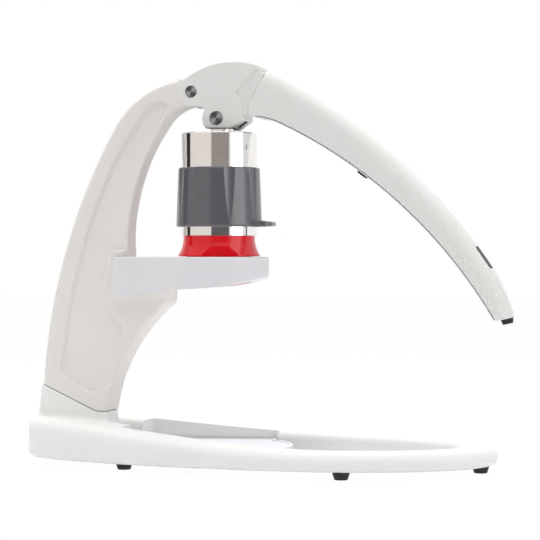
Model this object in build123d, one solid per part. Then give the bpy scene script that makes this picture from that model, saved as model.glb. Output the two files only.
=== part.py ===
from build123d import *
import math
import os

# Manual lever espresso maker, in millimetres, lever fully down.
# While it is modelled, X = 0 is the brew axis, +X runs to the front, Z = 0 is the table.
# At the end every piece is moved so that the middle of the footprint is the origin.

# Base casting
base_rear_reach = 126.0
base_front_reach = 184.0
base_width = 137.0
base_widest_x = 60.0
base_taper_length = 200.0
base_corner_radius = 14.0
base_rim_width = 24.0
deck_rear_height = 31.0
deck_front_height = 17.0
deck_fall_start_x = -130.0
deck_middle = (-30.0, 24.2)
deck_fall_end_x = 90.0
deck_edge_radius = 7.0
opening_edge_radius = 5.0
opening_rear_reach = 75.0
underside_edge_radius = 4.5
rear_slot_width = 24.0
rear_slot_length = 40.0
rear_slot_floor_height = 14.0
rear_slot_gap = 1.6
rear_slot_corner = 5.0
rear_slot_edge_radius = 4.5

# Feet
foot_height = 5.0
foot_top_radius = 5.8
foot_tread_radius = 4.2
foot_peg_radius = 2.5
foot_peg_length = 3.6
rear_feet_x = -54.0
rear_feet_inset = 20.0
middle_feet_x = 94.0
middle_feet_inset = 10.0
front_foot_inset = 10.5

# Drip tray and the well that holds it
well_rear_x = -57.0
well_front_x = 30.0
well_rear_half = 34.0
well_front_half = 48.0
well_corner_radius = 4.0
well_floor_height = 9.6
tray_side_clearance = 1.0
tray_seat_clearance = 0.2
tray_thickness = 4.0
tray_rim_width = 2.0
tray_dish_depth = 0.6
tray_bow_half = 38.0
tray_bow_front_x = 49.0

# Post, from the seam above the base up to the lever pivot
post_foot_thickness = 25.0
post_tongue_thickness = 18.4
post_rear_x = -119.5
post_front_x = -73.6
seam_rear_height = 53.0
seam_front_height = 35.5
seam_bend_x = -82.0
seam_gap = 0.7
stub_lean = 5.6
stub_step = 1.5
stub_edge_radius = 4.0
stub_root_radius = 3.0
seam_pad_inset = 2.6
post_rear_radius = 394.0
post_rear_top = (-70.3, 223.9)
post_crown_end = (-30.0, 254.4)
post_underarm = (-35.2, 226.0)
post_front_waist_x = -59.6
gusset_nose_x = -31.5
gusset_nose_height = 107.5
gusset_radius = 113.0
gusset_nose_radius = 6.0
tongue_radius = 8.5
post_edge_radius = 3.0
panel_depth = 2.6
panel_rim_radius = 1.6
panel_floor_radius = 0.9
panel_corners = [
    (-32.6, 237.8), (-36.0, 242.4), (-44.5, 241.0), (-68.6, 205.0), (-85.2, 166.0), (-99.4, 117.0),
    (-107.4, 60.5), (-84.5, 46.2), (-71.5, 53.5), (-62.2, 88.0), (-79.0, 113.0), (-73.0, 142.6),
    (-63.5, 142.6), (-60.0, 172.0), (-48.6, 210.0),
]
panel_radii = [4.0, 4.0, 8.0, 200.0, 330.0, 330.0, 5.0, 9.0, 8.0, 14.0, 8.0, 3.0, 1.5, 170.0, 170.0]

# Screws that hold the post on the base
post_screw_xs = [-106.0, -89.0]
post_screw_radius = 3.0
post_screw_head_radius = 5.0
post_screw_head_height = 5.0
post_screw_recess = 1.5
post_screw_bite = 20.0

# Holder arm that carries the brew head
holder_top = 138.0
holder_plate = 8.0
holder_ring_radius = 33.0
holder_leg_width = 34.0
holder_leg_end_x = -52.0
holder_ring_join_angle = 110.0
holder_heel_x = -70.8
holder_heel_height = 112.5
holder_shoulder_x = -69.0
holder_belly = [(-55.0, 112.5), (-43.0, 114.7), (0.0, 118.0)]
holder_nose_height = 125.0
holder_edge_radius = 1.5
holder_heel_radius = 3.5
holder_fit = 0.15
holder_screw_xs = [-50.0, -38.5]
holder_screw_radius = 2.5
holder_screw_head_radius = 4.2
holder_screw_head_height = 3.4
holder_screw_recess = 0.6
holder_screw_bite = 12.0

# Lever pivot and press pin
pivot_x = -15.4
pivot_z = 246.6
press_x = 1.8
press_z = 228.9
pivot_pin_radius = 4.0
press_pin_radius = 4.6
pin_chamfer = 0.5
bush_wall = 1.5
bush_length = 7.0
running_clearance = 0.05
thread_clearance = 0.05
press_clearance = 0.02
screw_clearance = 0.3

# Lever head, the casting with two cheeks
lever_width = 28.0
cheek_clearance = 0.4
hub_radius = 9.5
press_hub_radius = 9.8
head_crown_radius = 54.0
head_crown_direction = -51.2
head_corner_angle = 70.0
head_bottom = 222.2
head_notch = (14.2, 246.6)
head_throat = (18.0, 240.4)
head_throat_bottom = (19.9, 228.0)
head_chin_x = 11.4
head_edge_radius = 1.0
head_corner_radius = 1.5
hub_end_angle = -75.0
press_hub_end_angle = 140.0
slot_clearance = 1.6
neck_width = 25.0
neck_gap = 0.1
neck_crest = 261.0
neck_bottom = 231.0
tang_end_gap = 9.5
tang_fit = 0.2

# Lever handle, its underside cover and small parts
handle_top_start = (44.0, 257.6)
handle_top_end = (179.5, 133.6)
handle_top_radius = 393.0
handle_tip_radius = 110.0
handle_tip_angle = 14.6
handle_end_corner = (184.0, 97.3)
handle_bottom_start = (44.9, 224.3)
handle_bottom_end = (183.1, 98.3)
handle_bottom_radius = 321.5
handle_throat_radius = 50.0
handle_heel = (23.1, 228.0)
handle_knee = (22.9, 237.7)
handle_shoulder = (38.5, 265.0)
handle_crown_radius = 11.5
handle_start_radius = 1.8
handle_side_wall = 4.0
handle_top_wall = 5.0
cover_lip = 0.6
cover_gap = 0.5
cover_inset = 3.2
cover_lip_margin = 0.4
cover_fit = 0.2
cover_start_x = 28.0
cover_end_gap = 0.8
cover_screw_angles = [60.0, 46.5, 36.5]
cover_screw_radius = 1.5
cover_screw_head_radius = 2.8
cover_screw_head_height = 2.0
cover_screw_recess = 0.4
cover_screw_tip_gap = 1.0
cover_boss_radius = 4.0
tang_screw_angles = [67.0, 64.3]
tang_screw_radius = 2.0
tang_screw_head_radius = 3.6
tang_screw_head_height = 3.0
tang_screw_recess = 4.5
tang_screw_bite = 3.0
bumper_peg_radius = 1.8
bumper_peg_length = 3.4
bumper_seat = 0.05
mid_bumper_radius = 4.4
mid_bumper_tread_radius = 3.7
mid_bumper_height = 2.1
mid_bumper_angle = 53.6
tip_bumper_radius = 4.2
tip_bumper_tread_radius = 3.4
tip_bumper_height = 3.4
tip_bumper_inset = 4.6
inlay_length = 17.0
inlay_width = 13.5
inlay_depth = 1.8
inlay_angle = 34.8
inlay_corner = 2.0
inlay_fit = 0.1
stop_pad_inset = 2.6
stop_pad_length = 6.4
stop_pad_depth = 2.2
stop_pad_reach = 0.5
stop_pad_width = 5.0

# Plunger that hangs from the press pin
plunger_radius = 8.0
yoke_radius = 8.5
yoke_side_clearance = 0.5
plunger_length = 30.0
plunger_chamfer = 1.2

# Brew head: portafilter, basket, screen, seal, cylinder, sleeve
seat_clearance = 0.3
portafilter_radius = 27.1
portafilter_neck_radius = 23.8
portafilter_height = 13.5
portafilter_waist_radius = 24.3
portafilter_waist_share = 0.55
spigot_radius = 21.6
spigot_length = 14.0
spigot_wall = 2.6
spigot_clearance = 0.3
portafilter_lip = 1.0
portafilter_floor = 3.0
outlet_radius = 4.0
outlet_wall = 1.5
outlet_length = 4.0
notch_count = 3
notch_first_angle = -73.0
notch_width = 23.0
notch_corner = 2.0
notch_height = 6.6
notch_flat_radius = 23.9
basket_wall = 0.8
basket_depth = 10.0
basket_radius = 20.6
basket_flange_radius = 23.0
basket_hole_radius = 0.7
basket_hole_pitch = 5.2
basket_hole_rings = 3
basket_hole_count = 6
basket_clearance = 0.2
screen_radius = 21.4
screen_thickness = 0.8
screen_hole_radius = 0.8
seal_inner_radius = 21.7
seal_outer_radius = 23.2
seal_height = 2.6
cylinder_bore_radius = 20.0
cylinder_radius = 25.3
cylinder_top = 219.7
cylinder_skirt_radius = 23.5
cylinder_skirt_gap = 0.2
cylinder_edge = 0.8
sleeve_bottom = 157.7
sleeve_top = 196.8
sleeve_bottom_radius = 28.4
sleeve_top_radius = 27.0
sleeve_edge_radius = 1.3
sleeve_fit = 0.05
flute_count = 9
flute_first_angle = 20.0
flute_radius = 14.0
flute_depth = 0.85
flute_end_height = 163.0
tab_reach = 37.5
tab_width = 22.0
tab_corner = 7.0
tab_root_height = 4.4
tab_tip_height = 2.6
tab_tip_lift = 0.5
tab_edge_radius = 0.8

# Piston with its two rings, and the stem that the plunger presses
piston_clearance = 0.3
piston_height = 14.0
piston_floor_gap = 0.6
ring_section_radius = 1.3
ring_bore_clearance = 0.05
ring_groove_clearance = 0.1
ring_margin = 1.8
stem_radius = 6.5
stem_spigot_radius = 4.0
stem_spigot_length = 8.0
stem_gap = 1.2

# Values that follow from the sizes above
lever_half = lever_width / 2
foot_half = post_foot_thickness / 2
tongue_half = post_tongue_thickness / 2
slot_half = tongue_half + cheek_clearance
post_top = pivot_z + tongue_radius
tray_bottom = well_floor_height + tray_seat_clearance
bracket_top = holder_top - holder_plate
portafilter_bottom = holder_top + seat_clearance
portafilter_top = portafilter_bottom + portafilter_height
basket_top = portafilter_top + basket_wall
seal_top = basket_top + seal_height
piston_bottom = seal_top + piston_floor_gap
piston_top = piston_bottom + piston_height
piston_radius = cylinder_bore_radius - piston_clearance
plunger_bottom = press_z - plunger_length
stem_top = plunger_bottom - stem_gap
loop_reach = base_front_reach - base_widest_x - base_rim_width
loop_half = base_width / 2 - base_rim_width
pivot = (pivot_x, pivot_z)
press = (press_x, press_z)
slot_front_x = press_x + yoke_radius + slot_clearance
slot_top = press_z + yoke_radius + slot_clearance
cover_top = cover_lip + cover_gap + cover_inset
far = 400.0
over_run = 6.0
touch = 0.1
halfway = 0.5


def polar(centre, radius, angle):
    """Point at a radius and an angle in degrees about a centre."""
    turn = math.radians(angle)
    return (centre[0] + radius * math.cos(turn), centre[1] + radius * math.sin(turn))


def arc_centre(start, end, radius):
    """Centre of the circle through two points, on the right-hand side of the way between them."""
    run = (end[0] - start[0], end[1] - start[1])
    chord = math.hypot(*run)
    depth = math.sqrt(radius**2 - (chord / 2) ** 2)
    middle = ((start[0] + end[0]) / 2, (start[1] + end[1]) / 2)
    return (middle[0] + run[1] / chord * depth, middle[1] - run[0] / chord * depth)


def direction(centre, point):
    """Angle in degrees from a centre to a point."""
    return math.degrees(math.atan2(point[1] - centre[1], point[0] - centre[0]))


def arc(centre, radius, start_angle, end_angle):
    """Arc about a centre from one angle to another."""
    return CenterArc(centre, radius, start_angle, end_angle - start_angle)


def across(face, half):
    """Side view drawn in X and Z, given its thickness to both sides of the middle plane."""
    return extrude(Plane.XZ * face, amount=half, both=True)


def turned(*edges):
    """Half section drawn in radius and height, turned about the brew axis."""
    return revolve(Plane.XZ * make_face(edges), axis=Axis.Z)


def polygon(*points):
    """Closed face through corner points."""
    return make_face(Polyline(*points, close=True))


def upright(radius, bottom, top, x=0.0, y=0.0):
    """Upright cylinder between two heights."""
    return Pos(x, y, (bottom + top) / 2) * Cylinder(radius, top - bottom)


def cross_bar(radius, length, x, z, y=0.0):
    """Cylinder that lies across the lever, along Y."""
    return Pos(x, y, z) * Rot(90, 0, 0) * Cylinder(radius, length)


def tilted(solid, centre, radius, angle):
    """Solid whose +Z points along an angle in the side view, set at a polar place."""
    x, z = polar(centre, radius, angle)
    return Pos(x, 0, z) * Rot(0, 90 - angle, 0) * solid


def base_half_width(x):
    """Half width of the base outline: two half ellipses that meet at the widest place."""
    run = x - base_widest_x
    reach = base_front_reach - base_widest_x if run > 0 else base_taper_length
    return base_width / 2 * math.sqrt(1 - (run / reach) ** 2)


def base_outline():
    """Egg shape, cut square at the rear, with rounded rear corners."""
    half = base_width / 2
    middle = Pos(base_widest_x, 0)
    front = middle * Ellipse(base_front_reach - base_widest_x, half)
    front &= middle * Rectangle(far, far, align=(Align.MIN, Align.CENTER))
    rear = middle * Ellipse(base_taper_length, half)
    length = base_rear_reach + base_widest_x
    rear &= middle * Rectangle(length, far, align=(Align.MAX, Align.CENTER))
    outline = front + rear
    return fillet(outline.vertices().group_by(Axis.X)[0], base_corner_radius)


def deck_air():
    """All that lies above the deck, which falls in an S curve from the rear to the front."""
    high = (deck_fall_start_x, deck_rear_height)
    low = (deck_fall_end_x, deck_front_height)
    fall = Spline(high, deck_middle, low, tangents=[(1, 0), (1, 0)])
    rest = Polyline(low, (far, low[1]), (far, far), (-far, far), (-far, high[1]), high)
    return across(make_face([fall, rest]), base_width)


def stub_face(lowered):
    """Side view of the stub that the post stands on, its top lowered by a gap."""
    return polygon(
        (post_rear_x - stub_lean, deck_front_height),
        (post_rear_x - stub_step, seam_height(post_rear_x - stub_step) - lowered),
        (seam_bend_x, seam_front_height - lowered),
        (post_front_x, seam_front_height - lowered),
        (post_front_x, deck_front_height),
    )


def foot_places():
    """Name, X and Y of each foot."""
    rear_y = base_half_width(rear_feet_x) - rear_feet_inset
    middle_y = base_half_width(middle_feet_x) - middle_feet_inset
    return [
        ("rear_left_foot", rear_feet_x, rear_y),
        ("rear_right_foot", rear_feet_x, -rear_y),
        ("middle_left_foot", middle_feet_x, middle_y),
        ("middle_right_foot", middle_feet_x, -middle_y),
        ("front_foot", base_front_reach - front_foot_inset, 0.0),
    ]


def opening():
    """Plan of the open front loop: two half ellipses that meet at the widest place of the base."""
    middle = Pos(base_widest_x, 0)
    front = middle * Ellipse(loop_reach, loop_half)
    front &= middle * Rectangle(far, far, align=(Align.MIN, Align.CENTER))
    rear = middle * Ellipse(opening_rear_reach, loop_half)
    rear &= middle * Rectangle(far, far, align=(Align.MAX, Align.CENTER))
    return front + rear


def well_plan(inset):
    """Plan of the tray well: straight walls that spread to the front, moved in by an inset."""
    rear = well_rear_x + inset
    front = well_front_x - inset
    rear_half = well_rear_half - inset
    front_half = well_front_half - inset
    plan = polygon((rear, -rear_half), (front, -front_half), (front, front_half), (rear, rear_half))
    return fillet(plan.vertices(), well_corner_radius)


def rear_slot():
    """Plan of the slot between the stub and the tray well."""
    plan = RectangleRounded(rear_slot_length, rear_slot_width, rear_slot_corner)
    return Pos(post_front_x + rear_slot_gap + rear_slot_length / 2, 0) * plan


def is_deck_rim(edge):
    """True for an edge of the deck that follows the outline, not a crease across it."""
    place = edge.center()
    across_deck = edge.geom_type == GeomType.LINE and place.X > touch - base_rear_reach
    return place.Z > deck_front_height - touch and not across_deck


def is_upright(edge):
    """True for an edge that runs more up than across."""
    run = edge.tangent_at(halfway)
    return abs(run.Z) > math.hypot(run.X, run.Y)


def sunk(body, plan, floor, radius):
    """Body with a plan cut into its deck down to a floor, the cut's upper edges rounded."""
    body -= Pos(0, 0, floor) * extrude(plan, amount=2 * far)
    wall = extrude(plan, amount=far, both=True).faces().filter_by(Axis.Z, reverse=True)
    rim = []
    for edge in body.edges():
        place = edge.center()
        on_wall = min(face.distance_to(place) for face in wall) < touch
        if on_wall and place.Z > deck_front_height - touch:
            rim.append(edge)
    return fillet(rim, radius)


def make_stub():
    """Stub that the post stands on: rounded sides, and a smaller pad up to the seam."""
    stub = across(stub_face(seam_gap), foot_half)
    stub = fillet(stub.edges().filter_by(is_upright), stub_edge_radius)
    length = post_front_x - post_rear_x - 2 * seam_pad_inset
    pad = Pos((post_front_x + post_rear_x) / 2, 0) * Rectangle(length, far) & stub_face(0)
    return stub + across(pad, foot_half - seam_pad_inset)


def is_stub_root(edge):
    """True for an edge where a side of the stub meets the deck."""
    place = edge.center()
    on_side = abs(abs(place.Y) - foot_half) < touch and post_rear_x < place.X < post_front_x
    return on_side and rear_slot_floor_height + touch < place.Z < deck_rear_height + touch


def make_base():
    """Casting with a stub for the post, a well for the tray and an open front loop."""
    body = Pos(0, 0, foot_height) * extrude(base_outline(), amount=deck_rear_height)
    body -= deck_air()
    body = fillet(body.edges().filter_by(is_deck_rim), deck_edge_radius)
    body = fillet(body.faces().sort_by(Axis.Z)[0].edges(), underside_edge_radius)
    body = sunk(body, rear_slot(), rear_slot_floor_height, rear_slot_edge_radius)
    body = sunk(body, opening(), -far, opening_edge_radius)
    body += make_stub()
    body = fillet(body.edges().filter_by(is_stub_root), stub_root_radius)
    body -= Pos(0, 0, well_floor_height) * extrude(well_plan(0), amount=far)
    for name, x, y in foot_places():
        top = foot_height + foot_peg_length
        body -= upright(foot_peg_radius + press_clearance, foot_height, top, x, y)
    for x in post_screw_xs:
        body -= post_screw(x, screw_clearance)
    return body


def make_foot(x, y):
    """Rubber foot: a tapered tread with a peg pressed into the base."""
    tread = Pos(x, y, foot_height / 2) * Cone(foot_tread_radius, foot_top_radius, foot_height)
    return tread + upright(foot_peg_radius, foot_height, foot_height + foot_peg_length, x, y)


def tray_plan(inset):
    """Plan of the tray: the well's plan with some room and a bowed front, moved in by an inset."""
    room = tray_side_clearance + inset
    front = well_front_x - room
    half = tray_bow_half - inset
    nose = tray_bow_front_x - inset
    curve = ThreePointArc((front, -half), (nose, 0), (front, half))
    bow = make_face([curve, Line((front, half), (front, -half))])
    return well_plan(room) + bow


def make_tray():
    """Flat dish that lies in the well."""
    body = Pos(0, 0, tray_bottom) * extrude(tray_plan(0), amount=tray_thickness)
    floor = tray_bottom + tray_thickness - tray_dish_depth
    return body - Pos(0, 0, floor) * extrude(tray_plan(tray_rim_width), amount=tray_thickness)


def seam_height(x):
    """Height of the seam between the post and the stub."""
    share = min(1.0, (x - post_rear_x) / (seam_bend_x - post_rear_x))
    return seam_rear_height + share * (seam_front_height - seam_rear_height)


def post_screw(x, clearance):
    """Screw from under the base, up through the stub and into the post."""
    seat = foot_height + post_screw_recess + post_screw_head_height
    head = upright(post_screw_head_radius + clearance, foot_height + post_screw_recess, seat, x)
    if clearance:
        head += upright(post_screw_head_radius + clearance, 0, seat, x)
    return head + upright(post_screw_radius + clearance, seat, seam_height(x) + post_screw_bite, x)


def post_outline():
    """Side view of the post: curved back, pivot tongue, hollow front and gusset under the holder."""
    foot = (post_rear_x, seam_rear_height)
    tongue_top = (pivot_x, pivot_z + tongue_radius)
    tongue_low = (pivot_x, pivot_z - tongue_radius)
    inner_corner = (post_front_waist_x, bracket_top)
    nose = (gusset_nose_x, gusset_nose_height)
    toe = (post_front_x, seam_front_height)
    back = RadiusArc(foot, post_rear_top, post_rear_radius)
    crown = TangentArc(post_rear_top, post_crown_end, tangent=back % 1)
    arm = TangentArc(post_crown_end, tongue_top, tangent=crown % 1)
    tongue = TangentArc(tongue_top, tongue_low, tangent=arm % 1)
    underarm = TangentArc(tongue_low, post_underarm, tangent=tongue % 1)
    front = TangentArc(post_underarm, inner_corner, tangent=underarm % 1)
    bracket = Polyline(inner_corner, (gusset_nose_x, bracket_top), nose)
    gusset = RadiusArc(nose, toe, -gusset_radius)
    seam = Polyline(toe, (seam_bend_x, seam_front_height), foot)
    outline = make_face([back, crown, arm, tongue, underarm, front, bracket, gusset, seam])
    nose_corner = outline.vertices().sort_by_distance((gusset_nose_x, gusset_nose_height))[0]
    return fillet(nose_corner, gusset_nose_radius)


def post_slab(inset):
    """Wedge that narrows from the foot of the post to its tongue, both sides moved in by an inset."""
    low = foot_half - inset
    high = tongue_half - inset
    section = polygon(
        (-low, seam_front_height), (low, seam_front_height), (high, post_top), (-high, post_top),
    )
    return extrude(Plane.YZ * section, amount=far, both=True)


def post_half_at(height):
    """Half thickness of the post at a height."""
    share = (height - seam_front_height) / (post_top - seam_front_height)
    return foot_half + share * (tongue_half - foot_half)


def panel_outline():
    """Side view of the sunken panel: it follows the post's back and steps round the holder's heel."""
    return make_face(FilletPolyline(*panel_corners, radius=panel_radii, close=True))


def panel_edges(body, walls, depth):
    """Edges of the panel's walls that lie at a depth below the sides of the post."""
    found = []
    for edge in body.edges():
        place = edge.center()
        on_wall = min(wall.distance_to(place) for wall in walls) < touch
        if on_wall and abs(post_half_at(place.Z) - abs(place.Y) - depth) < touch:
            found.append(edge)
    return found


def with_panels(body):
    """Post with a sunken panel on both sides, the floor and the rim of each one rounded."""
    block = across(panel_outline(), far)
    walls = block.faces().filter_by(Axis.Y, reverse=True)
    body -= block - post_slab(panel_depth)
    body = fillet(panel_edges(body, walls, panel_depth), panel_floor_radius)
    return fillet(panel_edges(body, walls, 0), panel_rim_radius)


def is_post_rim(edge):
    """True for an edge of the post's sides that shows, not one inside the holder or on the seam."""
    place = edge.center()
    flat = edge.geom_type == GeomType.LINE
    return abs(place.Y) > tongue_half / 2 and not flat


def make_post():
    """Casting that carries the pivot at its top and the holder on its bracket."""
    body = across(post_outline(), foot_half) & post_slab(0)
    body = fillet(body.edges().filter_by(is_post_rim), post_edge_radius)
    body = with_panels(body)
    bore = pivot_pin_radius + running_clearance + bush_wall + press_clearance
    body -= cross_bar(bore, lever_width, pivot_x, pivot_z)
    for x in post_screw_xs:
        body -= post_screw(x, thread_clearance)
    for x in holder_screw_xs:
        body -= holder_screw(x, thread_clearance)
    return body


def holder_screw(x, clearance):
    """Screw from the holder's top, down through its plate and into the bracket of the post."""
    head_top = holder_top - holder_screw_recess
    seat = head_top - holder_screw_head_height
    tip = bracket_top - holder_screw_bite
    head = upright(holder_screw_head_radius + clearance, seat, head_top, x)
    if clearance > thread_clearance:
        head += upright(holder_screw_head_radius + clearance, seat, far, x)
    return head + upright(holder_screw_radius + clearance, tip - clearance, seat, x)


def holder_plan():
    """Plan of the holder: two straight legs that swell into a round ring."""
    half = holder_leg_width / 2
    turn = math.radians(holder_ring_join_angle)
    edges = []
    for side in (1, -1):
        leg_start = (-far, side * half)
        leg_end = (holder_leg_end_x, side * half)
        join = polar((0, 0), holder_ring_radius, side * holder_ring_join_angle)
        edges.append(Line(leg_start, leg_end))
        edges.append(Spline(leg_end, join, tangents=[(1, 0), (math.sin(turn), -side * math.cos(turn))]))
    edges.append(arc((0, 0), holder_ring_radius, -holder_ring_join_angle, holder_ring_join_angle))
    edges.append(Line((-far, half), (-far, -half)))
    return make_face(edges)


def holder_side():
    """Side view of the holder: flat top, leaning heel and a belly that rises to the nose."""
    nose = (holder_ring_radius, holder_nose_height)
    heel = (holder_heel_x, holder_heel_height)
    belly = Spline(*holder_belly, nose)
    rest = Polyline(
        nose, (far, holder_nose_height), (far, holder_top), (holder_shoulder_x, holder_top), heel,
        holder_belly[0],
    )
    return make_face([belly, rest])


def make_holder():
    """Arm that caps the bracket, grips the post between its legs and carries the brew head."""
    body = extrude(holder_plan(), amount=far) & across(holder_side(), far)
    heel = []
    for edge in body.edges().filter_by(GeomType.LINE):
        if edge.center().X < holder_shoulder_x and is_upright(edge):
            heel.append(edge)
    body = fillet(heel, holder_heel_radius)
    body = fillet(body.faces().sort_by(Axis.Z)[-1].edges(), holder_edge_radius)
    body -= across(post_outline(), post_half_at(holder_heel_height) + holder_fit)
    body -= upright(spigot_radius + spigot_clearance, 0, far)
    for x in holder_screw_xs:
        body -= holder_screw(x, screw_clearance)
    return body


def head_outline():
    """Side view of the lever head: pivot hub, crown, notch towards the handle, chin and press hub."""
    crown_centre = polar(pivot, head_crown_radius - hub_radius, head_crown_direction)
    crown_start = head_crown_direction + 180
    corner = polar(crown_centre, head_crown_radius, head_corner_angle)
    drop = press_z - head_bottom
    heel = (press_x - math.sqrt(press_hub_radius**2 - drop**2), head_bottom)
    hub_low = polar(pivot, hub_radius, hub_end_angle)
    press_high = polar(press, press_hub_radius, press_hub_end_angle)
    hub = ThreePointArc(hub_low, polar(pivot, hub_radius, 180), polar(pivot, hub_radius, crown_start))
    crown = arc(crown_centre, head_crown_radius, crown_start, head_corner_angle)
    chin = (head_chin_x, head_bottom)
    front = Polyline(corner, head_notch, head_throat, head_throat_bottom, chin, heel)
    press_hub = ThreePointArc(heel, polar(press, press_hub_radius, 180), press_high)
    outline = make_face([hub, crown, front, press_hub, Line(press_high, hub_low)])
    for place in (corner, head_notch, head_throat_bottom, chin, heel, press_high, hub_low):
        vertex = outline.vertices().sort_by_distance((*place, 0))[0]
        outline = fillet(vertex, head_corner_radius)
    return outline


def handle_curves():
    """Centres and joining angles of the handle's top and bottom curves."""
    top = arc_centre(handle_top_start, handle_top_end, handle_top_radius)
    tip_join = direction(top, handle_top_end)
    tip = polar(top, handle_top_radius - handle_tip_radius, tip_join)
    bottom = arc_centre(handle_bottom_start, handle_bottom_end, handle_bottom_radius)
    throat_join = direction(bottom, handle_bottom_start)
    throat = polar(bottom, handle_bottom_radius - handle_throat_radius, throat_join)
    return top, tip_join, tip, bottom, throat_join, throat


top_centre, tip_join, tip_centre, bottom_centre, throat_join, throat_centre = handle_curves()
end_corner_top = polar(tip_centre, handle_tip_radius, handle_tip_angle)
end_slope = direction(handle_end_corner, end_corner_top)


def top_edges(inset):
    """Top curve of the handle, moved in by an inset: a long arc and the rounder tip."""
    radius = handle_top_radius - inset
    start = math.degrees(math.acos((press_x - top_centre[0]) / radius))
    long_arc = arc(top_centre, radius, start, tip_join)
    return [long_arc, arc(tip_centre, handle_tip_radius - inset, tip_join, handle_tip_angle - over_run)]


def bottom_edges(offset):
    """Bottom curve of the handle, moved into it by an offset: a long arc and the throat."""
    low = direction(bottom_centre, handle_end_corner) - over_run
    radius = handle_throat_radius + offset
    end = math.degrees(math.acos((press_x - throat_centre[0]) / radius))
    long_arc = arc(bottom_centre, handle_bottom_radius + offset, low, throat_join)
    return [long_arc, arc(throat_centre, radius, throat_join, end)]


def handle_band(inset, offset):
    """Region between the top curve and the bottom curve."""
    top = top_edges(inset)
    bottom = bottom_edges(offset)
    return make_face([*top, Line(top[1] @ 1, bottom[0] @ 0), *bottom, Line(bottom[1] @ 1, top[0] @ 0)])


def underside_strip(low, high):
    """Strip along the underside of the handle, between two offsets."""
    lower = bottom_edges(low)
    upper = bottom_edges(high)
    return make_face([*lower, *upper, Line(lower[0] @ 0, upper[0] @ 0), Line(lower[1] @ 1, upper[1] @ 1)])


def before_end(inset):
    """Half plane on the handle's side of its end face, moved in by an inset."""
    x, z = polar(end_corner_top, inset, end_slope + 90)
    return Pos(x, z) * Rot(0, 0, end_slope) * Rectangle(2 * far, far, align=(Align.CENTER, Align.MIN))


def behind_head(ahead):
    """Region on the handle's side of its slanted start, or of a line that lies ahead of it."""
    start = [(handle_heel[0], 0), handle_knee, handle_shoulder]
    return polygon(*[(x - ahead, z) for x, z in start], (far, far), (far, 0))


def after(x):
    """Half plane in front of an X."""
    return Pos(x, 0) * Rectangle(far, 2 * far, align=(Align.MIN, Align.CENTER))


def make_head():
    """Casting with two cheeks on the pivot, and a neck with a tang that goes into the handle."""
    body = across(head_outline(), lever_half)
    rim = [edge for edge in body.edges() if abs(edge.center().Y) > lever_half - touch]
    body = fillet(rim, head_edge_radius)
    slot_rear_x = pivot_x + tongue_radius + slot_clearance
    slot = Pos(slot_rear_x, 0) * Rectangle(far, 2 * far, align=(Align.MAX, Align.CENTER))
    slot += Pos(slot_front_x, slot_top) * Rectangle(far, far, align=(Align.MAX, Align.MAX))
    body -= across(slot, slot_half)
    tang = handle_band(handle_top_wall + tang_fit, cover_top + tang_fit) & after(slot_front_x)
    first_screw = polar(bottom_centre, handle_bottom_radius, cover_screw_angles[0])
    tang -= after(first_screw[0] - tang_end_gap)
    tang -= Pos(0, neck_crest) * Rectangle(far, far, align=(Align.CENTER, Align.MIN))
    neck = polygon(
        (slot_front_x, neck_bottom), (handle_heel[0], neck_bottom), handle_knee, (slot_front_x, slot_top),
    )
    body += across(tang + neck, lever_half - handle_side_wall - tang_fit)
    body += across(tang + neck - behind_head(neck_gap), neck_width / 2)
    body -= cross_bar(pivot_pin_radius + press_clearance, 2 * lever_width, *pivot)
    body -= cross_bar(press_pin_radius + press_clearance, 2 * lever_width, *press)
    body -= across(stop_pad_face(), stop_pad_width / 2 + press_clearance)
    for angle in tang_screw_angles:
        body -= tang_screw(angle, screw_clearance)
    return body


def stop_pad_face():
    """Side view of the rubber pad under the chin, let into the web and standing proud of it."""
    chin = (head_chin_x, head_bottom)
    slope = direction(chin, head_throat_bottom)
    height = stop_pad_depth + stop_pad_reach
    pad = Rectangle(stop_pad_length, height, align=(Align.MIN, Align.MIN))
    x, z = polar(polar(chin, stop_pad_inset, slope), -stop_pad_reach, slope + 90)
    return Pos(x, z) * Rot(0, 0, slope) * pad


def handle_solid():
    """Outside of the handle before it is hollowed: flat sides and a rounded top."""
    face = handle_band(0, cover_lip + cover_gap) & behind_head(0) & before_end(0)
    body = across(face, lever_half)
    crown = []
    for edge in body.edges().filter_by(GeomType.CIRCLE):
        on_side = abs(edge.center().Y) > lever_half - touch
        on_top = min(abs(edge.radius - handle_top_radius), abs(edge.radius - handle_tip_radius)) < touch
        if on_side and on_top:
            crown.append(edge)
    body = fillet(crown, handle_crown_radius)
    return fillet(body.edges().filter_by(is_start_edge), handle_start_radius)


def is_start_edge(edge):
    """True for an outer edge of the handle's slanted start."""
    place = edge.center()
    start = Polyline((handle_heel[0], 0), handle_knee, handle_shoulder)
    at_start = start.distance_to(Vector(place.X, place.Z, 0)) < touch
    return at_start and (abs(place.Y) > touch or place.Z > neck_crest)


def inlay_block(clearance):
    """Rounded block across the top of the handle, as deep as the inlay."""
    plan = RectangleRounded(inlay_length + clearance, inlay_width + clearance, inlay_corner)
    block = Pos(0, 0, -inlay_depth) * extrude(plan, amount=4 * inlay_depth)
    return tilted(block, top_centre, handle_top_radius, inlay_angle)


def radial_rod(radius, low, high, angle):
    """Rod square to the underside of the handle, between two offsets from it."""
    return tilted(upright(radius, low, high), bottom_centre, handle_bottom_radius, angle)


def cover_screw(angle, clearance):
    """Screw with a sunk head that holds the cover to a boss in the handle."""
    seat = cover_screw_recess + cover_screw_head_height
    tip = min(roof(place) for place in cover_screw_angles) - cover_screw_tip_gap
    low = -over_run if clearance else cover_screw_recess
    head = radial_rod(cover_screw_head_radius + clearance, low, seat, angle)
    return head + radial_rod(cover_screw_radius + clearance, seat, tip + clearance, angle)


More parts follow.
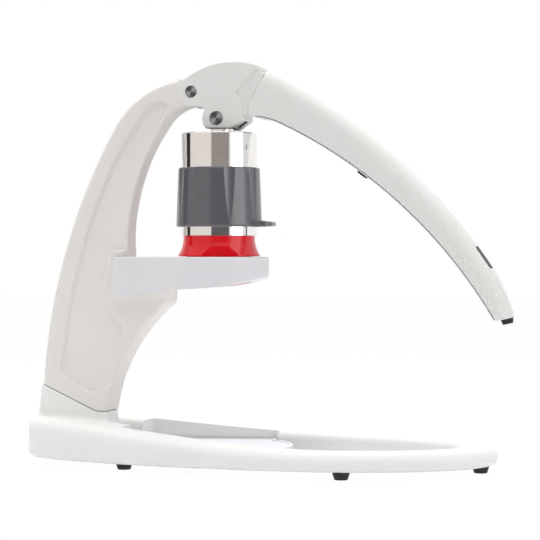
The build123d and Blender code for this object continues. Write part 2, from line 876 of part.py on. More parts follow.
def tang_screw(angle, clearance):
    """Screw through the tang into the top wall of the handle."""
    low = cover_top if clearance else cover_top + tang_screw_recess
    seat = cover_top + tang_screw_recess + tang_screw_head_height
    head = radial_rod(tang_screw_head_radius + clearance, low, seat, angle)
    return head + radial_rod(tang_screw_radius + clearance, seat, roof(angle) + tang_screw_bite, angle)


def roof(angle):
    """Offset from the underside to the hollow's roof, along a line square to the underside."""
    radius = handle_top_radius - handle_top_wall
    gap = math.dist(bottom_centre, top_centre)
    turn = math.radians(angle - direction(bottom_centre, top_centre))
    reach = gap * math.cos(turn) + math.sqrt(radius**2 - (gap * math.sin(turn)) ** 2)
    return reach - handle_bottom_radius


def make_handle():
    """Hollow handle shell, open below, with bosses for the cover screws."""
    outside = handle_solid()
    cavity = handle_band(handle_top_wall, -cover_lip) & before_end(handle_top_wall)
    body = outside - across(cavity, lever_half - handle_side_wall)
    for angle in cover_screw_angles:
        body += radial_rod(cover_boss_radius, cover_top, roof(angle) + handle_top_wall / 2, angle)
        body -= cover_screw(angle, thread_clearance)
    for angle in tang_screw_angles:
        body -= tang_screw(angle, thread_clearance)
    body -= inlay_block(inlay_fit)
    return body - make_tip_bumper(press_clearance)


def make_cover():
    """Curved plate that closes the underside of the handle, with a rib that locates inside it."""
    lip = underside_strip(0, cover_lip) & after(cover_start_x) & before_end(cover_end_gap)
    rib = underside_strip(0, cover_top) & after(cover_start_x)
    rib &= before_end(handle_top_wall + cover_fit)
    body = across(lip, lever_half - cover_lip_margin)
    body += across(rib, lever_half - handle_side_wall - cover_fit)
    for angle in cover_screw_angles:
        body -= cover_screw(angle, screw_clearance)
    return body - make_mid_bumper(press_clearance)


def bumper(radius, tread, height, clearance):
    """Rubber bumper: tapered tread below, peg above."""
    body = Pos(0, 0, -height / 2) * Cone(tread, radius, height)
    return body + upright(bumper_peg_radius + clearance, 0, bumper_peg_length + clearance)


def make_mid_bumper(clearance=0.0):
    """Bumper under the middle of the handle."""
    body = bumper(mid_bumper_radius, mid_bumper_tread_radius, mid_bumper_height, clearance)
    return tilted(body, bottom_centre, handle_bottom_radius - bumper_seat, mid_bumper_angle)


def make_tip_bumper(clearance=0.0):
    """Bumper on the end face of the handle."""
    centre = polar(end_corner_top, -tip_bumper_inset, end_slope)
    body = bumper(tip_bumper_radius, tip_bumper_tread_radius, tip_bumper_height, clearance)
    return tilted(body, centre, 0, end_slope + 90)


def make_pin(radius, x, z):
    """Pin across the lever, flush with both cheeks."""
    pin = cross_bar(radius, lever_width, x, z)
    return chamfer(pin.edges().filter_by(GeomType.CIRCLE), pin_chamfer)


def make_bush(inner, length, x, z, y=0.0):
    """Plain bush round a pin."""
    bush = cross_bar(inner + running_clearance + bush_wall, length, x, z, y)
    return bush - cross_bar(inner + running_clearance, 2 * lever_width, x, z)


def make_plunger():
    """Steel plunger: an eye on the press pin and a round foot inside the cylinder."""
    eye_half = slot_half - yoke_side_clearance
    body = cross_bar(yoke_radius, 2 * eye_half, *press)
    foot = upright(plunger_radius, plunger_bottom, press_z, press_x)
    body += chamfer(foot.edges().sort_by(Axis.Z)[0], plunger_chamfer)
    bore = press_pin_radius + running_clearance + bush_wall + press_clearance
    return body - cross_bar(bore, lever_width, *press)


def make_portafilter():
    """Red base of the brew head: flared skirt, basket seat, spigot into the holder and outlet."""
    seat = basket_radius + basket_clearance
    floor = portafilter_bottom + portafilter_floor
    spigot_end = portafilter_bottom - spigot_length
    spigot_inner = spigot_radius - spigot_wall
    nozzle = outlet_radius + outlet_wall
    outlet_end = portafilter_bottom - outlet_length
    lip = (portafilter_radius, portafilter_bottom + portafilter_lip)
    neck = (portafilter_neck_radius, portafilter_top)
    waist = (portafilter_waist_radius, portafilter_bottom + portafilter_waist_share * portafilter_height)
    inside = Polyline(
        lip, (portafilter_radius, portafilter_bottom), (spigot_radius, portafilter_bottom),
        (spigot_radius, spigot_end), (spigot_inner, spigot_end), (spigot_inner, portafilter_bottom),
        (nozzle, portafilter_bottom), (nozzle, outlet_end), (outlet_radius, outlet_end),
        (outlet_radius, floor), (seat, floor), (seat, portafilter_top), neck,
    )
    body = turned(ThreePointArc(lip, waist, neck), inside)
    arch = RectangleRounded(notch_width, 2 * notch_height, notch_corner)
    for step in range(notch_count):
        turn = math.radians(notch_first_angle + step * 360 / notch_count)
        out = Vector(math.cos(turn), math.sin(turn), 0)
        face = Plane(origin=out * notch_flat_radius + Vector(0, 0, portafilter_bottom),
                     x_dir=(-out.Y, out.X, 0), z_dir=out)
        body -= extrude(face * arch, amount=portafilter_radius)
    return body


def holes(radius, bottom, top):
    """Rings of small upright holes about the brew axis."""
    places = [(0.0, 0.0)]
    for ring in range(1, basket_hole_rings + 1):
        count = ring * basket_hole_count
        for step in range(count):
            places.append(polar((0, 0), ring * basket_hole_pitch, 360 * step / count))
    return [upright(radius, bottom, top, x, y) for x, y in places]


def make_basket():
    """Steel cup for the ground coffee, hung by its flange, with a perforated floor."""
    floor = basket_top - basket_depth - basket_wall
    inner = basket_radius - basket_wall
    section = Polyline(
        (0, floor), (basket_radius, floor), (basket_radius, portafilter_top),
        (basket_flange_radius, portafilter_top), (basket_flange_radius, basket_top), (inner, basket_top),
        (inner, floor + basket_wall), (0, floor + basket_wall), close=True,
    )
    return turned(section) - holes(basket_hole_radius, floor - touch, floor + 2 * basket_wall)


def make_screen():
    """Perforated disc that spreads the water, laid on the basket's flange."""
    disc = upright(screen_radius, basket_top, basket_top + screen_thickness)
    return disc - holes(screen_hole_radius, basket_top - touch, seal_top)


def make_seal():
    """Flat ring between the basket's flange and the cylinder."""
    ring = upright(seal_outer_radius, basket_top, seal_top)
    return ring - upright(seal_inner_radius, basket_top - touch, seal_top + touch)


def make_cylinder():
    """Steel brew cylinder with a skirt over the seal."""
    low = portafilter_top + cylinder_skirt_gap
    section = Polyline(
        (cylinder_skirt_radius, low), (cylinder_radius, low),
        (cylinder_radius, cylinder_top - cylinder_edge),
        (cylinder_radius - cylinder_edge, cylinder_top),
        (cylinder_bore_radius + cylinder_edge, cylinder_top),
        (cylinder_bore_radius, cylinder_top - cylinder_edge),
        (cylinder_bore_radius, seal_top), (cylinder_skirt_radius, seal_top), close=True,
    )
    return turned(section)


def flute(angle):
    """Round bar that leans outwards below and cuts one finger hollow into the sleeve."""
    slope = (sleeve_bottom_radius - sleeve_top_radius) / (sleeve_top - sleeve_bottom)
    end_radius = sleeve_top_radius + slope * (sleeve_top - flute_end_height)
    high = sleeve_top_radius - flute_depth + flute_radius
    lean = math.degrees(math.atan2(end_radius + flute_radius - high, sleeve_top - flute_end_height))
    bar = Cylinder(flute_radius, 2 * (sleeve_top - sleeve_bottom))
    return Rot(0, 0, angle) * Pos(high, 0, sleeve_top) * Rot(0, -lean, 0) * bar


def make_tab(inner):
    """Pull tab to the front of the sleeve: a tongue that grows thinner to its tip."""
    root = sleeve_bottom + tab_root_height
    tip_low = sleeve_bottom + tab_tip_lift
    side = polygon(
        (0, sleeve_bottom), (sleeve_bottom_radius, sleeve_bottom), (tab_reach, tip_low),
        (tab_reach, tip_low + tab_tip_height), (sleeve_bottom_radius, root), (0, root),
    )
    plan = Pos(tab_reach / 2, 0) * RectangleRounded(tab_reach, tab_width, tab_corner)
    tab = extrude(plan, amount=far) & across(side, tab_width)
    rim = []
    for edge in tab.edges():
        if edge.center().X > sleeve_bottom_radius + touch and not is_upright(edge):
            rim.append(edge)
    return fillet(rim, tab_edge_radius) - upright(inner, 0, far)


def make_sleeve():
    """Silicone grip sleeve on the cylinder, with finger hollows and a pull tab to the front."""
    inner = cylinder_radius + sleeve_fit
    section = polygon(
        (inner, sleeve_bottom), (sleeve_bottom_radius, sleeve_bottom), (sleeve_top_radius, sleeve_top),
        (inner, sleeve_top),
    )
    outer = section.vertices().sort_by(Axis.X)[-2:]
    body = revolve(Plane.XZ * fillet(outer, sleeve_edge_radius), axis=Axis.Z)
    body -= [flute(flute_first_angle + step * 360 / flute_count) for step in range(flute_count)]
    return body + make_tab(inner)


def ring_heights():
    """Middle heights of the two piston rings."""
    margin = ring_margin + ring_section_radius
    return [piston_bottom + margin, piston_top - margin]


def make_piston():
    """Piston with two ring grooves and a socket for the stem."""
    body = upright(piston_radius, piston_bottom, piston_top)
    reach = ring_section_radius + ring_groove_clearance
    groove = cylinder_bore_radius - ring_bore_clearance - 2 * ring_section_radius - press_clearance
    for middle in ring_heights():
        ring = upright(cylinder_radius, middle - reach, middle + reach)
        body -= ring - upright(groove, middle - 2 * reach, middle + 2 * reach)
    socket = piston_top - stem_spigot_length - thread_clearance
    return body - upright(stem_spigot_radius + thread_clearance, socket, piston_top + touch)


def make_ring(middle):
    """Round rubber ring in a piston groove."""
    radius = cylinder_bore_radius - ring_bore_clearance - ring_section_radius
    return Pos(0, 0, middle) * Torus(radius, ring_section_radius)


def make_stem():
    """Steel stem that is screwed into the piston and stands up to the plunger."""
    rod = upright(stem_radius, piston_top, stem_top)
    rod = chamfer(rod.edges().sort_by(Axis.Z)[-1], plunger_chamfer)
    return rod + upright(stem_spigot_radius, piston_top - stem_spigot_length, piston_top)


bush_y = tongue_half - bush_length / 2
lower_ring, upper_ring = ring_heights()
parts = {
    "base": make_base(),
    "drip_tray": make_tray(),
    "post": make_post(),
    "post_screws": Part() + [post_screw(x, 0.0) for x in post_screw_xs],
    "holder": make_holder(),
    "holder_screws": Part() + [holder_screw(x, 0.0) for x in holder_screw_xs],
    "right_pivot_bush": make_bush(pivot_pin_radius, bush_length, pivot_x, pivot_z, -bush_y),
    "left_pivot_bush": make_bush(pivot_pin_radius, bush_length, pivot_x, pivot_z, bush_y),
    "lever_head": make_head(),
    "lever_handle": make_handle(),
    "handle_cover": make_cover(),
    "cover_screws": Part() + [cover_screw(angle, 0.0) for angle in cover_screw_angles],
    "tang_screws": Part() + [tang_screw(angle, 0.0) for angle in tang_screw_angles],
    "middle_bumper": make_mid_bumper(),
    "tip_bumper": make_tip_bumper(),
    "handle_inlay": inlay_block(-inlay_fit) & handle_solid(),
    "stop_pad": across(stop_pad_face(), stop_pad_width / 2),
    "pivot_pin": make_pin(pivot_pin_radius, *pivot),
    "press_pin": make_pin(press_pin_radius, *press),
    "plunger": make_plunger(),
    "plunger_bush": make_bush(press_pin_radius, 2 * (slot_half - yoke_side_clearance), *press),
    "portafilter": make_portafilter(),
    "filter_basket": make_basket(),
    "spreader_screen": make_screen(),
    "cylinder_seal": make_seal(),
    "brew_cylinder": make_cylinder(),
    "grip_sleeve": make_sleeve(),
    "piston": make_piston(),
    "lower_piston_ring": make_ring(lower_ring),
    "upper_piston_ring": make_ring(upper_ring),
    "piston_stem": make_stem(),
}
for name, x, y in foot_places():
    parts[name] = make_foot(x, y)

middle_of_footprint = (end_corner_top[0] - base_rear_reach) / 2
os.makedirs("parts", exist_ok=True)
for name, piece in parts.items():
    export_step(Pos(-middle_of_footprint, 0, 0) * piece, f"parts/{name}.step")
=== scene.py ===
import math

import bpy
import numpy as np
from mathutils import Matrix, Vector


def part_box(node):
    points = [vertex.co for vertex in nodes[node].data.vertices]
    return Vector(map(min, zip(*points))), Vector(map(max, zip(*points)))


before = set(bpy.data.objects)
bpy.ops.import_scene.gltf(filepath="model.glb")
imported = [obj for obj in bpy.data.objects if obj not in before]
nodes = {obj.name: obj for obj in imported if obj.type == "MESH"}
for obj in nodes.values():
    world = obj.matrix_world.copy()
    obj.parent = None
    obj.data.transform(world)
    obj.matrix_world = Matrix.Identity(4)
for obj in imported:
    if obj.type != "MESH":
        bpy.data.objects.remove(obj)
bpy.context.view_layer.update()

scene = bpy.context.scene

# Which pieces take which finish
lever_pieces = ["lever_head", "lever_handle"]
foot_pieces = ["rear_left_foot", "rear_right_foot", "middle_left_foot", "middle_right_foot", "front_foot"]
rubber_pieces = foot_pieces + ["middle_bumper", "tip_bumper", "stop_pad", "cylinder_seal"]
rubber_pieces += ["lower_piston_ring", "upper_piston_ring"]
bush_pieces = ["left_pivot_bush", "right_pivot_bush", "plunger_bush"]
screw_pieces = ["post_screws", "holder_screws", "cover_screws", "tang_screws"]

# The camera, level and a little to the right of square on
camera_turn = math.radians(14)
camera_distance = 1.2
camera_height = 0.1425
camera_lens = 121.6
camera_sensor = 36
camera_shift = -20 / 540
middle_offset = 0.00031


def tone(red, green, blue):
    """A colour of 0 to 255 levels as the linear colour that a shader socket takes."""
    levels = np.array([red, green, blue]) / 255
    linear = np.where(levels > 0.04045, ((levels + 0.055) / 1.055) ** 2.4, levels / 12.92)
    return (*map(float, linear), 1.0)


# Building nodes
def feed(tree, socket, value):
    """Links a socket to another, or sets its plain value."""
    if isinstance(value, bpy.types.NodeSocket):
        tree.links.new(value, socket)
    else:
        socket.default_value = value


def add_node(tree, kind, inputs=(), **settings):
    """A new node with its settings, and its inputs linked or set by name."""
    node = tree.nodes.new(kind)
    for name, value in settings.items():
        setattr(node, name, value)
    for name, value in dict(inputs).items():
        feed(tree, node.inputs[name], value)
    return node


def maths(tree, operation, *values):
    """One step of arithmetic on sockets or plain numbers."""
    node = add_node(tree, "ShaderNodeMath", operation=operation)
    for socket, value in zip(node.inputs, values):
        feed(tree, socket, value)
    return node.outputs[0]


def vector_maths(tree, operation, *values):
    """One step of vector arithmetic, with the node for its vector or its value."""
    node = add_node(tree, "ShaderNodeVectorMath", operation=operation)
    for socket, value in zip(node.inputs, values):
        feed(tree, socket, value)
    return node


def spread(tree, value, low, high, new_low, new_high):
    """A value carried from one range to another and held inside it."""
    node = add_node(tree, "ShaderNodeMapRange", clamp=True)
    for socket, part in zip(node.inputs, (value, low, high, new_low, new_high)):
        feed(tree, socket, part)
    return node.outputs[0]


def blend(tree, amount, first, second):
    """One colour over another by a mask."""
    node = add_node(tree, "ShaderNodeMix", data_type="RGBA")
    feed(tree, node.inputs[0], amount)
    feed(tree, node.inputs[6], first)
    feed(tree, node.inputs[7], second)
    return node.outputs[2]


def new_group(name, inputs, outputs):
    """An empty shader node group with named value sockets, and its two end nodes."""
    tree = bpy.data.node_groups.new(name, "ShaderNodeTree")
    for socket_name, value in inputs.items():
        socket = tree.interface.new_socket(socket_name, in_out="INPUT", socket_type="NodeSocketFloat")
        socket.default_value = value
    for socket_name in outputs:
        tree.interface.new_socket(socket_name, in_out="OUTPUT", socket_type="NodeSocketFloat")
    return tree, tree.nodes.new("NodeGroupInput").outputs, tree.nodes.new("NodeGroupOutput").inputs


def object_place(tree):
    """Where a point lies on the part, in metres."""
    return add_node(tree, "ShaderNodeTexCoord").outputs["Object"]


# Effects that several finishes share
def make_fine_grain():
    """Fine noise for a skin that isn't quite smooth, and slow noise for a tint that drifts."""
    tree, given, made = new_group("fine grain", {"Grain": 0.001, "Drift": 0.05}, ["Height", "Drift"])
    place = object_place(tree)
    for out_name, detail in (("Height", 2.0), ("Drift", 3.0)):
        size = given["Grain" if out_name == "Height" else "Drift"]
        scale = maths(tree, "DIVIDE", 1.0, size)
        noise = add_node(tree, "ShaderNodeTexNoise", {"Vector": place, "Scale": scale, "Detail": detail})
        feed(tree, made[out_name], noise.outputs[0])
    return tree


# An edge mask that finishes use for wear, and which the paint also uses for a painted highlight along its
# edges.
def make_edge_wear_and_highlight():
    """A mask that rises where a rounded edge turns away from the flat face, broken up by noise."""
    tree, given, made = new_group("edge wear and highlight", {"Width": 0.001, "Strength": 3.0}, ["Mask"])
    still_flat = 0.96
    patch_scale = 120.0
    rounded = add_node(tree, "ShaderNodeBevel", {"Radius": given["Width"]}, samples=6)
    flat = add_node(tree, "ShaderNodeNewGeometry").outputs["Normal"]
    along = vector_maths(tree, "DOT_PRODUCT", rounded.outputs[0], flat).outputs["Value"]
    sharp = maths(tree, "SUBTRACT", still_flat, along)
    turn = maths(tree, "MULTIPLY", maths(tree, "MAXIMUM", sharp, 0.0), given["Strength"])
    patches = add_node(tree, "ShaderNodeTexNoise", {"Vector": object_place(tree), "Scale": patch_scale})
    uneven = spread(tree, patches.outputs[0], 0.3, 0.7, 0.35, 1.0)
    mask = add_node(tree, "ShaderNodeClamp", {"Value": maths(tree, "MULTIPLY", turn, uneven)})
    feed(tree, made["Mask"], mask.outputs[0])
    return tree


def make_turned_lines():
    """Fine lines that a lathe tool leaves, as noise along one distance only."""
    tree, given, made = new_group("turned lines", {"Distance": 0.0, "Pitch": 0.0002}, ["Height", "Streak"])
    broad_share = 0.07
    steps = maths(tree, "DIVIDE", given["Distance"], given["Pitch"])
    fine = add_node(tree, "ShaderNodeTexNoise", {"W": steps, "Scale": 1.0}, noise_dimensions="1D")
    slow = maths(tree, "MULTIPLY", steps, broad_share)
    broad = add_node(tree, "ShaderNodeTexNoise", {"W": slow, "Scale": 1.0}, noise_dimensions="1D")
    feed(tree, made["Height"], fine.outputs[0])
    feed(tree, made["Streak"], broad.outputs[0])
    return tree


def make_handling_marks():
    """Soft smears where hands have been, as noise pulled out of shape by itself."""
    tree, given, made = new_group("handling marks", {"Size": 0.02}, ["Smear"])
    scale = maths(tree, "DIVIDE", 1.0, given["Size"])
    inputs = {"Vector": object_place(tree), "Scale": scale, "Detail": 4.0, "Distortion": 0.8}
    noise = add_node(tree, "ShaderNodeTexNoise", inputs)
    feed(tree, made["Smear"], spread(tree, noise.outputs[0], 0.42, 0.68, 0.0, 1.0))
    return tree


fine_grain = make_fine_grain()
edge_wear_and_highlight = make_edge_wear_and_highlight()
turned_lines = make_turned_lines()
handling_marks = make_handling_marks()


# Finishes
def new_finish(name, **plain):
    """A material with its Principled shader, whose plain values are set on the shader itself."""
    material = bpy.data.materials.new(name)
    material.use_nodes = True
    tree = material.node_tree
    shader = tree.nodes["Principled BSDF"]
    for socket_name, value in plain.items():
        shader.inputs[socket_name.replace("_", " ")].default_value = value
    return material, tree, shader.inputs


def use(tree, group, **inputs):
    """Places a shared effect in a material with its own values."""
    node = add_node(tree, "ShaderNodeGroup", node_tree=group)
    for name, value in inputs.items():
        feed(tree, node.inputs[name], value)
    return node.outputs


def rough_by(tree, level, *parts):
    """Roughness as a level with masks added to it, each by its own amount."""
    total = level
    for mask, amount in parts:
        total = maths(tree, "MULTIPLY_ADD", mask, amount, total)
    return total


def bump(tree, height, depth):
    """The normal of a skin whose height rises by a depth in metres."""
    inputs = {"Height": height, "Distance": depth, "Strength": 1.0}
    return add_node(tree, "ShaderNodeBump", inputs).outputs[0]


def full_drift(tree, grain):
    """The slow noise of a grain, stretched to run from nought to one."""
    least, most = 0.35, 0.7
    return spread(tree, grain["Drift"], least, most, 0.0, 1.0)


def painted_casting(name, colour, drifted, worn_and_highlit):
    """Satin paint on a casting: a faint skin of grain, a slow drift of tint, paler along the edges as wear
    and a painted highlight.
    """
    material, tree, shader = new_finish(name, IOR=1.47, Specular_IOR_Level=0.3)
    grain = use(tree, fine_grain, Grain=0.0011, Drift=0.06)
    edge = use(tree, edge_wear_and_highlight, Width=0.0014, Strength=2.2)["Mask"]
    drift = full_drift(tree, grain)
    body = blend(tree, drift, colour, drifted)
    # The paler edge colour is partly wear and partly a painted highlight along the rounded edges.
    feed(tree, shader["Base Color"], blend(tree, maths(tree, "MULTIPLY", edge, 0.6), body, worn_and_highlit))
    rough = rough_by(tree, 0.48, (grain["Height"], 0.03), (drift, 0.05), (edge, -0.1))
    feed(tree, shader["Roughness"], rough)
    feed(tree, shader["Normal"], bump(tree, grain["Height"], 0.000001))
    return material


def moulded_plastic(name, colour, drifted, level, grain_size, grain_depth):
    """Moulded plastic: an even fine spark-eroded grain, edges rubbed a little smoother."""
    material, tree, shader = new_finish(name, IOR=1.49)
    grain = use(tree, fine_grain, Grain=grain_size, Drift=0.03)
    edge = use(tree, edge_wear_and_highlight, Width=0.0008, Strength=2.0)["Mask"]
    smear = use(tree, handling_marks, Size=0.018)["Smear"]
    drift = full_drift(tree, grain)
    feed(tree, shader["Base Color"], blend(tree, drift, colour, drifted))
    rough = rough_by(tree, level, (grain["Height"], 0.12), (smear, -0.06), (edge, -0.08))
    feed(tree, shader["Roughness"], rough)
    feed(tree, shader["Normal"], bump(tree, grain["Height"], grain_depth))
    return material


def black_rubber():
    """Moulded black rubber: matt, dusty in slow patches, greyer where it rubs."""
    material, tree, shader = new_finish("black_rubber", IOR=1.5)
    grain = use(tree, fine_grain, Grain=0.0006, Drift=0.008)
    edge = use(tree, edge_wear_and_highlight, Width=0.0006, Strength=2.5)["Mask"]
    body = blend(tree, grain["Drift"], tone(12, 15, 18), tone(24, 26, 29))
    worn_and_highlit = maths(tree, "MULTIPLY", edge, 0.5)
    feed(tree, shader["Base Color"], blend(tree, worn_and_highlit, body, tone(46, 47, 50)))
    feed(tree, shader["Roughness"], rough_by(tree, 0.52, (grain["Height"], 0.2), (edge, 0.08)))
    feed(tree, shader["Normal"], bump(tree, grain["Height"], 0.00004))
    return material


def grey_silicone():
    """The sleeve's silicone: soft grey with a satin bloom, slightly darker where it is handled."""
    material, tree, shader = new_finish("grey_silicone", IOR=1.75)
    grain = use(tree, fine_grain, Grain=0.0005, Drift=0.02)
    smear = use(tree, handling_marks, Size=0.022)["Smear"]
    edge = use(tree, edge_wear_and_highlight, Width=0.0008, Strength=2.0)["Mask"]
    body = blend(tree, grain["Drift"], tone(82, 81, 87), tone(90, 89, 95))
    handled = maths(tree, "MULTIPLY", smear, 0.25)
    body = blend(tree, handled, body, tone(76, 75, 81))
    worn_and_highlit = maths(tree, "MULTIPLY", edge, 0.4)
    feed(tree, shader["Base Color"], blend(tree, worn_and_highlit, body, tone(112, 111, 117)))
    feed(tree, shader["Roughness"], rough_by(tree, 0.19, (grain["Height"], 0.05), (smear, 0.04)))
    feed(tree, shader["Normal"], bump(tree, grain["Height"], 0.00002))
    return material


def polished_steel():
    """Polished steel tube: fine rings from polishing on the lathe, and faint smears."""
    material, tree, shader = new_finish("polished_steel", Metallic=1.0)
    split = add_node(tree, "ShaderNodeSeparateXYZ", {"Vector": object_place(tree)})
    lines = use(tree, turned_lines, Distance=split.outputs["Z"], Pitch=0.00012)
    smear = use(tree, handling_marks, Size=0.015)["Smear"]
    body = blend(tree, lines["Streak"], tone(241, 239, 236), tone(245, 243, 240))
    handled = maths(tree, "MULTIPLY", smear, 0.2)
    feed(tree, shader["Base Color"], blend(tree, handled, body, tone(226, 222, 218)))
    feed(tree, shader["Roughness"], rough_by(tree, 0.06, (lines["Height"], 0.05), (smear, 0.02)))
    feed(tree, shader["Normal"], bump(tree, lines["Height"], 0.0000002))
    return material


def ring_tilt(tree, outward, height, amount):
    """The face's normal leaned out from an axis or in towards it, as the walls of fine turned rings do."""
    settings = {"vector_type": "VECTOR", "convert_from": "OBJECT", "convert_to": "WORLD"}
    way = vector_maths(tree, "NORMALIZE", outward).outputs["Vector"]
    way = add_node(tree, "ShaderNodeVectorTransform", {"Vector": way}, **settings).outputs[0]
    lean = maths(tree, "MULTIPLY", maths(tree, "SUBTRACT", height, 0.5), amount)
    scaled = add_node(tree, "ShaderNodeVectorMath", {"Vector": way, "Scale": lean}, operation="SCALE")
    flat = add_node(tree, "ShaderNodeNewGeometry").outputs["Normal"]
    leaned = vector_maths(tree, "ADD", flat, scaled.outputs["Vector"]).outputs["Vector"]
    return vector_maths(tree, "NORMALIZE", leaned).outputs["Vector"]


def turned_steel(name, centre):
    """Steel turned on a lathe: rings round an axis across the machine, and two dark fans painted into its
    colour as a painted reflection.
    """
    # The way across the turned face along which the painted reflection's dark fans lie.
    painted_fan_way = (0.5, 0.0, -0.87)
    material, tree, shader = new_finish(name, Metallic=1.0)
    from_axis = vector_maths(tree, "SUBTRACT", object_place(tree), centre).outputs["Vector"]
    in_plane = vector_maths(tree, "MULTIPLY", from_axis, (1.0, 0.0, 1.0)).outputs["Vector"]
    radius = vector_maths(tree, "LENGTH", in_plane).outputs["Value"]
    lines = use(tree, turned_lines, Distance=radius, Pitch=0.00022)
    edge = use(tree, edge_wear_and_highlight, Width=0.0005, Strength=3.0)["Mask"]
    body = blend(tree, lines["Streak"], tone(120, 119, 124), tone(190, 189, 193))
    way = vector_maths(tree, "NORMALIZE", in_plane).outputs["Vector"]
    # Painted reflection: the face is darkened in two fans fixed to the part, as a turned face reflects
    # under steady light.
    along_painted_fan = vector_maths(tree, "DOT_PRODUCT", way, painted_fan_way).outputs["Value"]
    painted_fan = spread(tree, maths(tree, "ABSOLUTE", along_painted_fan), 0.35, 0.95, 0.0, 1.0)
    body = blend(tree, maths(tree, "MULTIPLY", painted_fan, 0.85), body, tone(44, 43, 47))
    worn_and_highlit = maths(tree, "MULTIPLY", edge, 0.5)
    feed(tree, shader["Base Color"], blend(tree, worn_and_highlit, body, tone(180, 179, 182)))
    feed(tree, shader["Roughness"], rough_by(tree, 0.16, (lines["Height"], 0.12)))
    feed(tree, shader["Normal"], ring_tilt(tree, in_plane, lines["Height"], 2.2))
    return material


def middle_of(node):
    """The middle of a piece's box."""
    low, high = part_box(node)
    return tuple((low + high) / 2)


def dress(material, *names):
    """Gives the named pieces a finish."""
    for name in names:
        slots = nodes[name].data.materials
        slots.clear()
        slots.append(material)


def dress_pieces():
    """Every piece gets its finish; the base, the post and the lever take one white paint in three tones,
    lighter on the base as painted light and darker and warmer on the post as painted shade.
    """
    # One white paint in three tones: lighter on the base as painted light, darker and warmer on the post
    # as painted shade.
    lit_base_paint = painted_casting("base_paint", tone(246, 246, 244), tone(243, 243, 241), tone(251, 251, 250))
    shaded_post_paint = painted_casting("post_paint", tone(237, 234, 230), tone(235, 231, 227), tone(246, 244, 242))
    even = painted_casting("lever_paint", tone(235, 234, 232), tone(232, 231, 228), tone(245, 245, 244))
    cool = painted_casting("holder_paint", tone(231, 231, 234), tone(228, 228, 232), tone(243, 243, 246))
    fine = {"level": 0.42, "grain_size": 0.0007, "grain_depth": 0.000004}
    coarse = {"level": 0.4, "grain_size": 0.0006, "grain_depth": 0.00003}
    glossy = {"level": 0.1, "grain_size": 0.0006, "grain_depth": 0.000002}
    white = moulded_plastic("white_plastic", tone(236, 236, 238), tone(231, 231, 234), **fine)
    pale = moulded_plastic("pale_plastic", tone(240, 240, 245), tone(236, 236, 242), **fine)
    dark = moulded_plastic("dark_plastic", tone(38, 38, 41), tone(48, 48, 51), **coarse)
    red = moulded_plastic("red_plastic", tone(240, 6, 28), tone(235, 4, 24), **glossy)
    steel = polished_steel()
    dress(lit_base_paint, "base")
    dress(shaded_post_paint, "post")
    dress(even, *lever_pieces)
    dress(cool, "holder")
    dress(white, "handle_cover")
    dress(pale, "drip_tray")
    dress(dark, "handle_inlay", *bush_pieces)
    dress(red, "portafilter")
    dress(grey_silicone(), "grip_sleeve")
    dress(black_rubber(), *rubber_pieces)
    dress(steel, "brew_cylinder", "plunger", "piston", "piston_stem")
    for pin in ("pivot_pin", "press_pin"):
        dress(turned_steel(pin + "_steel", middle_of(pin)), pin)
    dress(turned_steel("small_parts_steel", middle_of("brew_cylinder")), *screw_pieces)
    dress(turned_steel("basket_steel", middle_of("filter_basket")), "filter_basket", "spreader_screen")


# Floor, cards, light and camera
def surface(name, rows, columns, points, material):
    """A mesh on a grid of rows by columns, each four neighbours making one face."""
    index = np.arange(rows * columns).reshape(rows, columns)
    corners = (index[:-1, :-1], index[:-1, 1:], index[1:, 1:], index[1:, :-1])
    faces = np.stack(corners, axis=-1).reshape(-1, 4)
    mesh = bpy.data.meshes.new(name)
    mesh.from_pydata(points.reshape(-1, 3).tolist(), [], faces.tolist())
    mesh.materials.append(material)
    made = bpy.data.objects.new(name, mesh)
    scene.collection.objects.link(made)
    return made


def seen_directly(tree):
    """One for rays from the camera and for rays that metal or glass sends on, otherwise nought."""
    rays = add_node(tree, "ShaderNodeLightPath").outputs
    total = maths(tree, "ADD", rays["Is Camera Ray"], rays["Is Glossy Ray"])
    total = maths(tree, "ADD", total, rays["Is Transmission Ray"])
    return maths(tree, "MINIMUM", total, 1.0)


def make_floor():
    """A flat white floor, z = 0 over a square, bright to the eye and still keeping a soft shadow."""
    half = 4.0
    lines = 9
    floor_white = 0.98
    steps = np.linspace(-half, half, lines)
    across, along = np.meshgrid(steps, steps)
    points = np.stack([across, along, np.zeros_like(across)], axis=-1)
    material = bpy.data.materials.new("floor_white")
    material.use_nodes = True
    tree = material.node_tree
    tree.nodes.clear()
    matt = add_node(tree, "ShaderNodeBsdfDiffuse", {"Color": tone(250, 250, 250)})
    bright = add_node(tree, "ShaderNodeEmission", {"Color": (1, 1, 1, 1), "Strength": 1.0})
    part = maths(tree, "MULTIPLY", seen_directly(tree), floor_white)
    mixed = add_node(tree, "ShaderNodeMixShader")
    feed(tree, mixed.inputs[0], part)
    feed(tree, mixed.inputs[1], matt.outputs[0])
    feed(tree, mixed.inputs[2], bright.outputs[0])
    out = add_node(tree, "ShaderNodeOutputMaterial")
    feed(tree, out.inputs["Surface"], mixed.outputs[0])
    surface("floor", lines, lines, points, material)


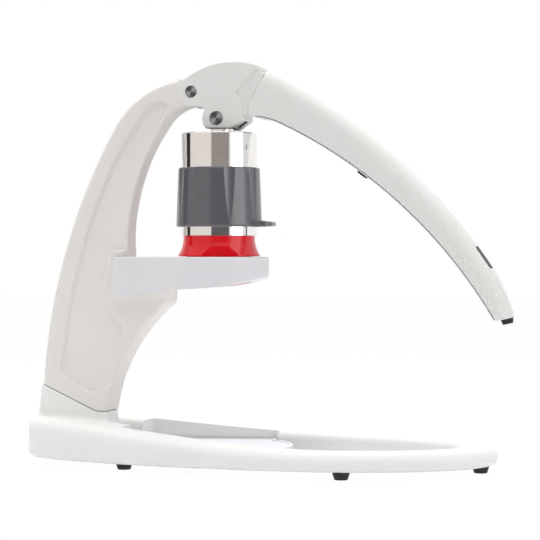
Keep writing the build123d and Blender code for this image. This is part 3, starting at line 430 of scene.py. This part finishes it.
def studio_card(name, start, end, bottom, top, colour, strength=1.0):
    """A card round the cylinder's axis: an upright strip of a drum, from one bearing to another.

    Bearings run from the camera towards its right, in degrees. Only shiny surfaces see the card."""
    radius = 1.9
    columns = 25
    bearing, height = np.meshgrid(np.radians(np.linspace(start, end, columns)), [bottom, top])
    turn = bearing + camera_turn
    centre = middle_of("brew_cylinder")
    across = centre[0] + radius * np.sin(turn)
    along = centre[1] - radius * np.cos(turn)
    points = np.stack([across, along, height], axis=-1)
    material = bpy.data.materials.new(name)
    material.use_nodes = True
    tree = material.node_tree
    tree.nodes.clear()
    glow = add_node(tree, "ShaderNodeEmission", {"Color": colour, "Strength": strength})
    out = add_node(tree, "ShaderNodeOutputMaterial")
    feed(tree, out.inputs["Surface"], glow.outputs[0])
    card = surface(name, 2, columns, points, material)
    card.visible_camera = False
    card.visible_diffuse = False
    card.visible_shadow = False


def make_cards():
    """The cards whose upright stripes show in the steel, the sleeve and the red plastic."""
    step, top, tall = 0.22, 0.8, 2.6
    studio_card("left_dark_card", -121, -95, 0.0, top, tone(48, 46, 49))
    studio_card("left_warm_card", -95, -22, 0.0, top, tone(232, 226, 222))
    studio_card("lower_grey_card", -22, 32, 0.0, step, tone(88, 87, 90))
    studio_card("middle_grey_card", -22, 32, step, top, tone(156, 148, 145))
    studio_card("right_bright_card", 40, 84, 0.0, tall, (1, 1, 1, 1), 2.4)
    studio_card("right_dark_card", 89, 94, 0.0, top, tone(60, 58, 61))


def make_world():
    """Soft light from all round, which the eye and shiny metal see as white."""
    level = 0.38
    world = bpy.data.worlds.new("studio")
    scene.world = world
    world.use_nodes = True
    tree = world.node_tree
    tree.nodes.clear()
    strength = spread(tree, seen_directly(tree), 0.0, 1.0, level, 1.0)
    glow = add_node(tree, "ShaderNodeBackground", {"Color": (1, 1, 1, 1), "Strength": strength})
    out = add_node(tree, "ShaderNodeOutputWorld")
    feed(tree, out.inputs["Surface"], glow.outputs[0])


def soft_lamp(name, place, target, width, power):
    """A square soft lamp aimed at a point."""
    light = bpy.data.lights.new(name, "AREA")
    light.shape = "SQUARE"
    light.size = width
    light.energy = power
    lamp = bpy.data.objects.new(name, light)
    lamp.location = place
    across, along, up = np.subtract(target, place)
    tilt = math.atan2(math.hypot(across, along), -up)
    lamp.rotation_euler = (tilt, 0, math.atan2(-across, along))
    lamp.visible_glossy = False
    scene.collection.objects.link(lamp)


def make_lamps():
    """One large lamp overhead, and a weak one from each side."""
    soft_lamp("overhead_lamp", place=(-0.05, 0.15, 1.4), target=(0, 0, 0), width=1.8, power=28)
    soft_lamp("left_lamp", place=(-1.5, -0.9, 0.5), target=(0, 0, 0.1), width=1.2, power=1.2)
    soft_lamp("right_lamp", place=(1.6, -0.4, 0.6), target=(-0.05, 0, 0.12), width=1.0, power=1.2)


def make_camera():
    """A level camera turned a little to the right, with the horizon above the middle of the picture."""
    lens = bpy.data.cameras.new("camera")
    lens.sensor_width = camera_sensor
    lens.lens = camera_lens
    lens.shift_y = camera_shift
    camera = bpy.data.objects.new("camera", lens)
    right = math.sin(camera_turn) * camera_distance + middle_offset
    camera.location = (right, -math.cos(camera_turn) * camera_distance, camera_height)
    camera.rotation_euler = (math.pi / 2, 0, camera_turn)
    scene.collection.objects.link(camera)
    scene.camera = camera


dress_pieces()
make_floor()
make_cards()
make_world()
make_lamps()
make_camera()
scene.view_settings.view_transform = "Standard"
